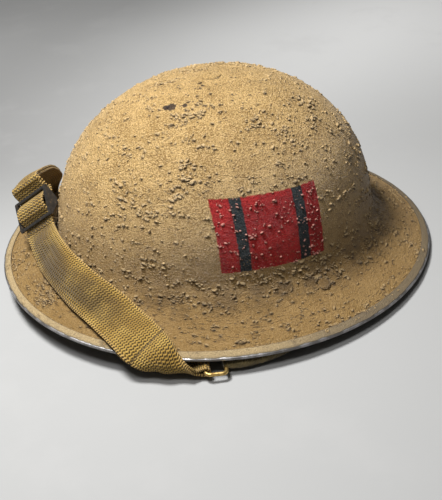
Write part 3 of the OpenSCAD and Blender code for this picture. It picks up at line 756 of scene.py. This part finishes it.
rim_side = [(-6.2, 0.1), (-6.25, 0.45), (-6.1, 0.66), (-5.7, 0.72), (-4.5, 0.7), (-3.3, 0.68),
            (-2.1, 0.67), (-1.0, 0.68)]
NOSE = len(rim_side)
for a in range(75, -90, -15):
    turn = math.radians(a)
    rim_side.append((-0.2 + 1.16 * math.cos(turn), -SHEET / 2 + 1.2 * math.sin(turn)))
rim_side += [(-1.0, -1.68), (-3.1, -1.67), (-5.6, -1.72), (-6.2, -1.66), (-6.2, -1.1),
             (-3.1, -1.07), (0.0, -1.06), (0.0, 0.06), (-3.1, 0.07)]
rim_arc = [0.0]
for a, b in zip(rim_side, rim_side[1:]):
    rim_arc.append(rim_arc[-1] + math.dist(a, b))


def rim_place(u, v):
    along, lift = rim_side[round(v * len(rim_side)) % len(rim_side)]
    a = math.pi / 2 + GAP / 2 + u * (2 * math.pi - GAP)
    s = rim_at(along, lift)
    p = on_oval(s.x, s.y, a)
    if lift > 0.3 or along > -1.5:
        p += around(a, z=1.0) * 0.09 * noise.noise(p * 0.07)
    return p


def rim_uv(u, v):
    """Millimetres round the rim, and along the strip's section from where its nose begins."""
    k = v * len(rim_side)
    j = int(k + 1e-6)
    if j >= len(rim_side) - 1:
        return (u * RIM_ROUND, 40.0)
    return (u * RIM_ROUND, rim_arc[j] + (k - j) * (rim_arc[j + 1] - rim_arc[j]) - rim_arc[NOSE])


rim = wrapped("rim_edge", COLUMNS, len(rim_side), rim_place, rim_uv)
mend(rim, sides=60)
smooth(rim, 45)
# painted shade on the rim round and below the crumbs
lay_painted_shade(rim, marks, 0.7)
finish_with(rim, "helmet", "rim_steel", RIM, "rim_strip")


# chin strap: two layers of webbing at each end, folded round the brass rings and the buckle
def curve(rows, t):
    """Smooth run through points, t counting from 0 at the first."""
    i = max(0, min(len(rows) - 2, int(math.floor(t))))
    u = t - i
    q, r = rows[i], rows[i + 1]
    p = rows[max(0, i - 1)]
    s = rows[min(len(rows) - 1, i + 2)]
    bend, twist = 2 * p - 5 * q + 4 * r - s, 3 * q - p - 3 * r + s
    return 0.5 * (2 * q + (r - p) * u + bend * u * u + twist * u * u * u)


def square_to(v, n):
    return unit(v - n * v.dot(n))


def flip(p):
    return Vector((-p.x, p.y, p.z))


# stations of the webbing: the ends of a row across it, and the way the row bows out
NEAR_RUN = [
    [(131, -78.5, -5.6), (104.2, -70.2, -6.8), (0.1, -0.4, -0.9)],
    [(130.6, -82, -2), (104.4, -79, -7.6), (0.2, -0.7, -0.7)],
    [(128, -84, 2), (106.8, -88, -8), (0.4, -0.75, -0.5)],
    [(121.5, -84.8, 6), (110.7, -96, -7.6), (0.8, -0.6, 0)],
    [(113, -85.5, 10), (113.6, -104.2, -4.9), (0.8, -0.4, 0.3)],
    [(105, -86.5, 12.2), (111, -111.1, -0.9), (0.5, -0.3, 0.8)],
    [(98, -87.6, 13.2), (104.7, -115.9, 3.45), (0.3, -0.2, 0.9)],
    [(89, -89, 14), (95.6, -118.3, 6.3), (0, 0, 1)],
    [(80.5, -91, 14.6), (85.5, -120, 7), (0, 0, 1)],
    [(66.5, -95.3, 18.8), (71, -123.2, 8.8), (0, -0.3, 1)],
    [(55, -100.3, 22.3), (58.5, -126, 10), (0, -0.4, 1)],
    [(43, -105.7, 25.5), (46, -128.2, 10.8), (0, -0.5, 1)],
    [(30, -110.4, 29.2), (31, -129.8, 11.3), (0, -0.6, 1)],
    [(17.5, -114, 32.6), (15, -131, 11.8), (0, -0.7, 1)],
    [(3, -115.6, 35.6), (-3.5, -131.4, 12.6), (0, -0.7, 1)]]
FAR_RUN = [
    [(-65, -106.5, 54), (-78, -122.5, 35), (-0.2, -0.8, 0.5)],
    [(-84.5, -93.5, 46), (-95.5, -113.5, 27), (-0.5, -0.6, 0.5)],
    [(-102.5, -83, 33), (-111.5, -106.5, 16), (-0.6, -0.5, 0.6)],
    [(-115.5, -78, 22), (-120.8, -103.4, 6.6), (-0.7, -0.5, 0.6)],
    [(-126.4, -77, 11.5), (-121.5, -99.6, -3), (-0.8, -0.5, 0.3)],
    [(-133, -77.8, 3), (-116.4, -92, -7.4), (-0.8, -0.6, -0.2)],
    [(-133.2, -78.6, -2.6), (-109.6, -82, -7), (-0.3, -0.95, -0.1)],
    [(-131.4, -78.7, -4.8), (-104.6, -70.6, -6.4), (-0.1, -0.8, -0.4)]]
HALF, LAYER, STEP = STRAP_W / 2, STRAP_T + 0.25, 10.0
ACROSS = unit(Vector((0.593, 0.51, 0.623)))
ALONG = square_to(Vector((-0.77, 0.1, 0.63)), ACROSS)
OUT, DOWN = -ALONG.cross(ACROSS), Vector((0, 0, -1))
RING_BACK = unit(Vector((0.33, 0.944, 0)))
RING_IN = Vector((-RING_BACK.y, RING_BACK.x, 0))
RING_FRONT = Vector((119.3, -67.9, -5))
RING_REAR = RING_FRONT + 12.8 * RING_BACK


def on_buckle(x, n):
    c = BUCKLE_AT + x * ALONG + n * OUT
    return (c + HALF * ACROSS, c - HALF * ACROSS, OUT)


def flat_row(x, n):
    top, low, _ = on_buckle(x, n)
    return [top, (top + low) / 2, low]


# slack webbing dips under the two outer bars and stands up in a hump between and beyond them
HUMPS = [(-0.8, 0), (-0.4, -0.1), (-0.05, -0.25), (0.3, 1.3), (0.6, 4.1), (1, 5.3), (1.4, 4.1),
         (1.7, 1.3), (2, -0.25), (2.3, 1.3), (2.6, 4.1), (3, 5)]
stations = [tuple(Vector(p) for p in s) for s in NEAR_RUN]
stations += [on_buckle(k * STEP, n) for k, n in HUMPS]
stations += [tuple(Vector(p) for p in s) for s in FAR_RUN]
tops, lows, bows = ([s[k] for s in stations] for k in range(3))
bows = [unit(b) for b in bows]
LAST, NEAR_LAST = len(stations) - 1, len(NEAR_RUN) - 1


def run(t):
    """The row at station t: its two ends and its middle, bowed out by the width left over."""
    a, b, w = curve(tops, t), curve(lows, t), curve(bows, t)
    c = (b - a).length
    k = math.sqrt(3 * c * (STRAP_W - c) / 8) if c < STRAP_W else 0
    return [a, (a + b) / 2 + k * square_to(w, unit(b - a)), b]


def run_off(t, d):
    """The row at station t, moved off its layer by d."""
    p, q, m = run(max(0, t - 0.1)), run(min(LAST, t + 0.1)), run(t)
    sides = (m[1] - m[0], m[2] - m[0], m[2] - m[1])
    return [m[k] + d * unit((q[k] - p[k]).cross(sides[k])) for k in range(3)]


def turn_round(c, x, n, side, r, first, last):
    """Rows that turn round a wire at c, from angle first to angle last."""
    rows = []
    for i in range(6):
        a = math.radians(first + (last - first) * i / 5)
        p = c + r * (math.cos(a) * n - math.sin(a) * x)
        rows.append([p + HALF * side, p, p - HALF * side])
    return rows


def steps(a, b, d):
    count = int(round(abs(b - a) / abs(d)))
    return [a + d * i for i in range(count + 1)]


LOOP = WIRE + SOFT_CLEAR + STRAP_T / 2
DROP = -LAYER - (STRAP_T / 2 + CLEAR + BAR)
BAR_AT = BUCKLE_AT + STEP * ALONG + DROP * OUT
path = [run_off(t, -LAYER) for t in steps(6.6, 0.1, -0.5)]
path += turn_round(RING_FRONT, -RING_BACK, DOWN, -RING_IN, LOOP, 180, 0)
path += [run(t) for t in steps(0, LAST, 0.5)]
path += turn_round(flip(RING_FRONT), flip(-RING_BACK), DOWN, flip(-RING_IN), LOOP, 0, 180)
path += [run_off(t, -LAYER) for t in steps(LAST, NEAR_LAST + len(HUMPS), -0.5)]
path += [flat_row(k * STEP, n)
         for k, n in ((2.55, 0.6), (2.25, -1.6), (2, -2.3), (1.6, -2.1), (1.3, -LAYER))]
path += turn_round(BAR_AT, ALONG, OUT, ACROSS, BAR + CLEAR + STRAP_T / 2, 0, 180)
path += [flat_row((1 + k) * STEP, -2 * LAYER - sink)
         for k, sink in ((0.5, 0), (0.9, 0.9), (1.3, 0.9))]

# finer rows between those of the path, kept as points across the webbing
TURNS = 5
fine = []
for i in range(len(path) - 1):
    for j in range(TURNS):
        fine.append([curve([row[k] for row in path], i + j / TURNS) for k in range(3)])
fine.append(path[-1])
FINE_LAST = len(fine) - 1
arc = [0.0]
for a, b in zip(fine, fine[1:]):
    arc.append(arc[-1] + (a[1] - b[1]).length)


def across_row(s, q):
    return s[0] * (1 - q) * (1 - 2 * q) + s[1] * 4 * q * (1 - q) + s[2] * q * (2 * q - 1)


# corners round the webbing: the place across it from 0 to 1, and its upper or lower face
STRIP = 26
ring_q = [(j / STRIP, 1) for j in range(STRIP + 1)]
ring_q += [(1 - j / STRIP, -1) for j in range(STRIP + 1)]


def strap_place(u, v):
    i = round(u * FINE_LAST)
    q, face = ring_q[round(v * len(ring_q)) % len(ring_q)]
    before, after = fine[max(0, i - 1)], fine[min(FINE_LAST, i + 1)]
    s = fine[i]
    side = across_row(s, min(1, q + 0.04)) - across_row(s, max(0, q - 0.04))
    n = unit((across_row(after, q) - across_row(before, q)).cross(side))
    # the edges are bound a little thinner than the middle, with a raised cord just inside them
    from_edge = min(q, 1 - q) * STRAP_W
    thick = STRAP_T / 2 - (0.3 if from_edge < 0.3 else 0) + (0.1 if 0.9 < from_edge < 2.2 else 0)
    thick += 0.1 * noise.noise(Vector((arc[i] * 0.3, q * 8, face * 3.0)))
    p = across_row(s, q) + n * face * thick
    return p + unit(side) * 0.25 * noise.noise(Vector((arc[i] * 0.12, q * 2, 5.0)))


def strap_uv(u, v):
    """Millimetres along the webbing, and across it from its middle."""
    k, j = u * FINE_LAST, v * len(ring_q)
    i, j0 = min(FINE_LAST - 1, int(k + 1e-6)), int(j + 1e-6)
    q0, q1 = ring_q[j0 % len(ring_q)][0], ring_q[(j0 + 1) % len(ring_q)][0]
    return (arc[i] + (k - i) * (arc[i + 1] - arc[i]), ((q0 + (q1 - q0) * (j - j0)) - 0.5) * STRAP_W)


strap = wrapped("chin_strap", FINE_LAST, len(ring_q), strap_place, strap_uv)
mend(strap, sides=END_SIDES)
smooth(strap, 60)
finish_with(strap, "strap", "webbing", WEBBING, "strap_webbing")

# gathered sleeves over the springs, drawn up into narrow rings of cloth
EYE_AXIS = Vector((0.558287, 0.688576, -0.462794))
BAIL_BAR = Vector((121.353, 5.4922, 0.421767))
SLEEVE_W, SLEEVE_T, CLOTH, SLEEVE_OVER = 25.0, 8.0, 1.0, 2.3
sleeve_mid = [BAIL_BAR, Vector((126.2, -8.5, -1.4)), Vector((128.6, -25, -3.4)),
              Vector((127.2, -41, -4.38)), RING_REAR]
S_END = len(sleeve_mid) - 1
S_LEN = sum((curve(sleeve_mid, (i + 1) / 50) - curve(sleeve_mid, i / 50)).length
            for i in range(50 * S_END))


def power(c, p):
    return math.copysign(abs(c) ** p, c) if c else 0.0


def sleeve_place(u, v):
    a = 2 * math.pi * v
    x = -SLEEVE_OVER + u * (S_LEN + 2 * SLEEVE_OVER)
    t = held(x / S_LEN) * S_END
    c = curve(sleeve_mid, t)
    along = unit(curve(sleeve_mid, min(S_END, t + 0.05)) - curve(sleeve_mid, max(0, t - 0.05)))
    past = min(0, x) + max(0, x - S_LEN)
    c = c + along * past
    side = square_to(EYE_AXIS.lerp(-RING_IN, min(1, t / 1.5)), along)
    side = unit(EYE_AXIS.lerp(side, min(1, max(0, t - 0.2) / 0.7)))
    up = unit(along.cross(side))
    swell = held(min(t - 0.12, S_END - 0.12 - t) * 2.2)
    hw = SLEEVE_W / 2 - 1.2 + 0.9 * swell
    ht = (WIRE + SOFT_CLEAR + CLOTH) * (1 - swell) + (SLEEVE_T / 2 - 0.2) * swell
    if past:
        ht *= math.sqrt(max(0.0, 1 - (past / SLEEVE_OVER) ** 2))
    # narrow gathers that fork and wander, deeper between the two channels
    w = Vector((x * 0.19, math.cos(a) * 1.1, math.sin(a) * 1.1))
    drift = 2.6 * noise.noise(w * 0.9)
    pleat = math.sin((x + drift) * 2 * math.pi / 3.4 + 1.3 * noise.noise(w + Vector((4, 4, 4))))
    pleat = (0.62 - abs(pleat) ** 0.8) * (0.75 + 0.5 * noise.noise(w * 2.1))
    depth = 1.2 * swell * (0.35 + 0.65 * abs(math.sin(a)) ** 0.4)
    seam_dip = 0.55 * swell * math.exp(-((math.cos(a) * hw) / 1.3) ** 2)
    wide, lift = hw + 0.45 * pleat * swell, ht + pleat * depth - seam_dip
    return c + side * wide * power(math.cos(a), 0.78) + up * lift * power(math.sin(a), 0.66)


for side_name, mirror in (("left", False), ("right", True)):
    place = (lambda u, v: flip(sleeve_place(u, v))) if mirror else sleeve_place
    sleeve = wrapped(side_name + "_gathered_sleeve", 300, 56, place)
    mend(sleeve, sides=END_SIDES)
    smooth(sleeve, 80)
    dress(sleeve, "sleeve_cloth", SLEEVE, side_name + "_sleeve")
    a, b = (flip(p) if mirror else p for p in (BAIL_BAR, RING_REAR))
    seated(a)
    seated(b)
    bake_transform(sleeve)


# liner: sweat band, tongues, drawstring and crown pad
def liner_oval(r, a, z):
    return Vector((r * math.cos(a), (r + LONGER) * math.sin(a), z))


band_side = [(0, 0.6)] + [(0, k * HEAD_H / 14) for k in range(1, 14)]
band_side += [(0, HEAD_H - 0.5), (-0.45, HEAD_H), (-1.1, HEAD_H), (-HEAD_T, HEAD_H - 0.5)]
band_side += [(-HEAD_T, k * HEAD_H / 14) for k in range(13, 0, -1)]
band_side += [(-HEAD_T, 0.6), (-1.1, 0), (-0.45, 0)]


def band_place(u, v):
    x, z = band_side[round(v * len(band_side)) % len(band_side)]
    a = 2 * math.pi * u
    p = liner_oval(HEAD_R + x, a, HEAD_Z + z)
    if x < -1:
        p -= around(a) * 0.35 * (noise.noise(p * 0.09) + 0.5)
    return p


band = wrapped("sweat_band_cloth", 240, len(band_side), band_place)
smooth(band, 50)
finish_with(band, "helmet", "oilcloth", OILCLOTH, "sweat_band")

TONGUES = 8
TONGUE_LINE = [(HEAD_R - HEAD_T - 0.85, HEAD_Z + HEAD_H - 7), (HEAD_R - 1, 72), (48, NET_TOP - 3),
               (9.5, NET_TOP)]


def tongue_mid(t):
    return Vector(bezier(TONGUE_LINE, t))


def tongue_place(k):
    turn = (k + 0.5) * math.pi / 4

    def place(u, v):
        t = 1 - u
        j = round(v * 30) % 30
        face, q = (1, j / 14) if j < 15 else (-1, (29 - j) / 14)
        p, d = tongue_mid(t), unit(tongue_mid(min(1, t + 0.02)) - tongue_mid(max(0, t - 0.02)))
        n = Vector((-d.y, d.x)) * 0.5 * face * (0.55 if j in (0, 14, 15, 29) else 1)
        f = LONGER * min(1, p.x / HEAD_R)
        hw = min(23 * (1 - 0.25 * t), p.x * 0.93 * math.tan(math.pi / 8))
        c = Vector((p.x * math.cos(turn), (p.x + f) * math.sin(turn), 0))
        s = unit(Vector((-p.x * math.sin(turn), (p.x + f) * math.cos(turn), 0)))
        w = Vector((s.y, -s.x, 0))
        x = 1 - 2 * q
        # the tongue bends to the oval that it is cut from
        reach = (p.x * math.sin(turn)) ** 2 + ((p.x + f) * math.cos(turn)) ** 2
        bend = reach ** 1.5 / (p.x * (p.x + f))
        sag = (0.11 + 0.89 * x * x) * hw * hw / (2 * bend)
        crease = 0.3 * noise.noise(Vector((q * 5, t * 9, k * 3.0)))
        lift = Vector((0, 0, p.y + n.y + crease * 0.4))
        return c + s * hw * x + w * (n.x - sag + crease * 0.4) + lift
    return place


tongues = []
for k in range(TONGUES):
    tongues.append(wrapped("tongue_%d" % k, 40, 30, tongue_place(k)))
    mend(tongues[-1], sides=END_SIDES)
take(tongues[0])
for t in tongues[1:]:
    t.select_set(True)
bpy.ops.object.join()
net = made("tongue_net")
smooth(net, 50)
finish_with(net, "helmet", "oilcloth", OILCLOTH, "skull_net")

start()
bpy.ops.mesh.primitive_torus_add(major_radius=STRING_RING, minor_radius=STRING_R,
                                 major_segments=160, minor_segments=12)
string = made("draw_cord")
for v in string.data.vertices:
    a = math.atan2(v.co.y, v.co.x)
    mid = around(a, STRING_RING)
    off = v.co - mid
    b = math.atan2(off.z, off.dot(mid) / STRING_RING)
    off *= 0.9 + 0.14 * abs(math.cos(1.5 * b - 14 * a))
    v.co = mid + off + Vector((0, 0, NET_TOP + 0.5 + STRING_R + 0.1))
string.data.transform(TO_FLOOR)
smooth(string)
finish_with(string, "helmet", "cord", STRING, "drawstring")

# the two crossed bands lie under the crown, and the pad's collar reaches up to the lower one
BAND_T, COLLAR = 1.0, 3.33
PAD_TOP = CROWN - SHEET - 1.3 - 2 * BAND_T - 0.1 - COLLAR
pad_side = [(9.6, 3.3), (11, 3.3), (11.6, 2.4), (12.2, 1), (13, 0.05), (16, -0.1), (23, -0.3),
            (28.5, -0.45), (29.8, -1.2), (30, -2.8), (29.7, -4.6), (28.6, -6.2), (27, -7.05),
            (22, -7.4), (17, -7.7), (13, -8), (11, -7.9), (9.8, -7.4), (9.6, -5), (9.6, -2.5)]


def pad_place(u, v):
    r, z = pad_side[round(v * len(pad_side)) % len(pad_side)]
    p = around(2 * math.pi * u, r, PAD_TOP + z)
    return p + Vector((0, 0, -0.25 * max(0, noise.noise(p * 0.15)) if z < -6 else 0))


pad = wrapped("crown_pad_sponge", 120, len(pad_side), pad_place)
smooth(pad, 60)
finish_with(pad, "helmet", "rubber_pad", SPONGE, "crown_pad")

# rigid pieces keep their construction and get their finishes
for names, mat in (
        (("left_ring", "right_ring", "buffer_rivets"), BRASS),
        (("slide_buckle",), BLACK),
        (("left_lug", "right_lug", "left_bail", "right_bail"), DARK_STEEL),
        (("lug_rivets", "crown_bolt"), PAINT_PLAIN),
        (("crown_washer", "crown_nut"), ZINC),
        (("left_springs", "right_springs"), SPRING),
        (("long_band", "cross_band", "hoop"), FIBRE),
        (("rubber_buffers",), RUBBER)):
    for name in names:
        cad[name].data.materials.clear()
        cad[name].data.materials.append(mat)

# floor, just under the outer corners of the two bails
FLOOR_Z = -0.0009
start()
bpy.ops.mesh.primitive_plane_add(size=6)
floor = made("studio_floor")
for v in floor.data.vertices:
    v.co.z = FLOOR_Z
mat, sh = new_material("pale_cloth_floor")
spot = sh.get("TexCoord", "Object")
depth = sh.vector("DOT_PRODUCT", spot, PHOTO_AWAY, output="Value")
sideways = sh.vector("DOT_PRODUCT", spot, PHOTO_RIGHT, output="Value")
# the floor carries painted light and shade: it is paler behind the helmet and darkens to the left
dark = (depth * 0.5 - sideways).ramp(0, 0.42) * depth.ramp(-0.06, 0.16)
dark = sh.reckon("ADD", dark, (sh.noise(spot, 1.6, 4.0) - 0.5) * 0.4, clamp=True)
colour = sh.blend(depth.ramp(0.12, 0.5), rgb(148, 148, 147), rgb(206, 206, 205))
colour = sh.blend(dark * 0.72, colour, rgb(92, 92, 91))
colour = sh.blend(sh.noise(spot, 14.0, 4.0, 0.6).ramp(0.5, 0.7) * 0.15, colour, rgb(158, 157, 156))
sh.skin(Base_Color=colour, Roughness=0.95, Specular_IOR_Level=0.1)
floor.data.materials.append(mat)

# the photo's camera, from the outline of rim and dome: its direction and roll, its distance in
# millimetres, and its focal length and shift in pixels of the photo, which is TALL pixels high
AZ, EL, ROLL = (math.radians(angle) for angle in (65.41, 30.72, -2.56))
FAR, FOCAL, SHIFT, TALL, SENSOR = 773.4, 1064.4, (3.56, -12.07), 500, 36
back = around(AZ - math.pi / 2, math.cos(EL), math.sin(EL))
right = unit(Vector((0, 0, 1)).cross(back))
up = back.cross(right)
right, up = (math.cos(ROLL) * right + math.sin(ROLL) * up,
             -math.sin(ROLL) * right + math.cos(ROLL) * up)
spin_seat = SEAT.to_3x3()
view = Matrix((spin_seat @ right, spin_seat @ up, spin_seat @ back)).transposed().to_4x4()
view.translation = seated(back * FAR)
cam_data = bpy.data.cameras.new("photo_view")
cam = bpy.data.objects.new("photo_view", cam_data)
scene.collection.objects.link(cam)
cam.matrix_world = view
cam_data.sensor_fit = "AUTO"
cam_data.sensor_width = SENSOR
cam_data.lens = SENSOR * FOCAL / TALL
cam_data.shift_x, cam_data.shift_y = SHIFT[0] / TALL, SHIFT[1] / TALL
cam_data.clip_start = 0.01
scene.camera = cam


def lamp(name, place, aim, size, power):
    data = bpy.data.lights.new(name, "AREA")
    data.shape, data.size, data.energy = "DISK", size, power
    obj = bpy.data.objects.new(name, data)
    scene.collection.objects.link(obj)
    way = (Vector(aim) - Vector(place)).to_track_quat("-Z", "Y")
    obj.matrix_world = Matrix.Translation(place) @ way.to_matrix().to_4x4()


def from_camera(x, y, z):
    """A place given in metres to the right of, above and towards the camera from the helmet."""
    return spin_seat @ (right * x + up * y + back * z)


lamp("window_light", from_camera(-0.29, 0.58, 0.43), (0, -0.02, 0.06), 0.2, 12.2)
lamp("front_glow", from_camera(-0.2, 0.5, 0.85), (0, -0.02, 0.07), 0.24, 4)
world = scene.world = bpy.data.worlds.new("studio")
world.use_nodes = True
sky = world.node_tree.nodes["Background"].inputs
sky[0].default_value, sky[1].default_value = (1.0, 0.97, 0.93, 1.0), 0.1
scene.view_settings.view_transform = "Standard"
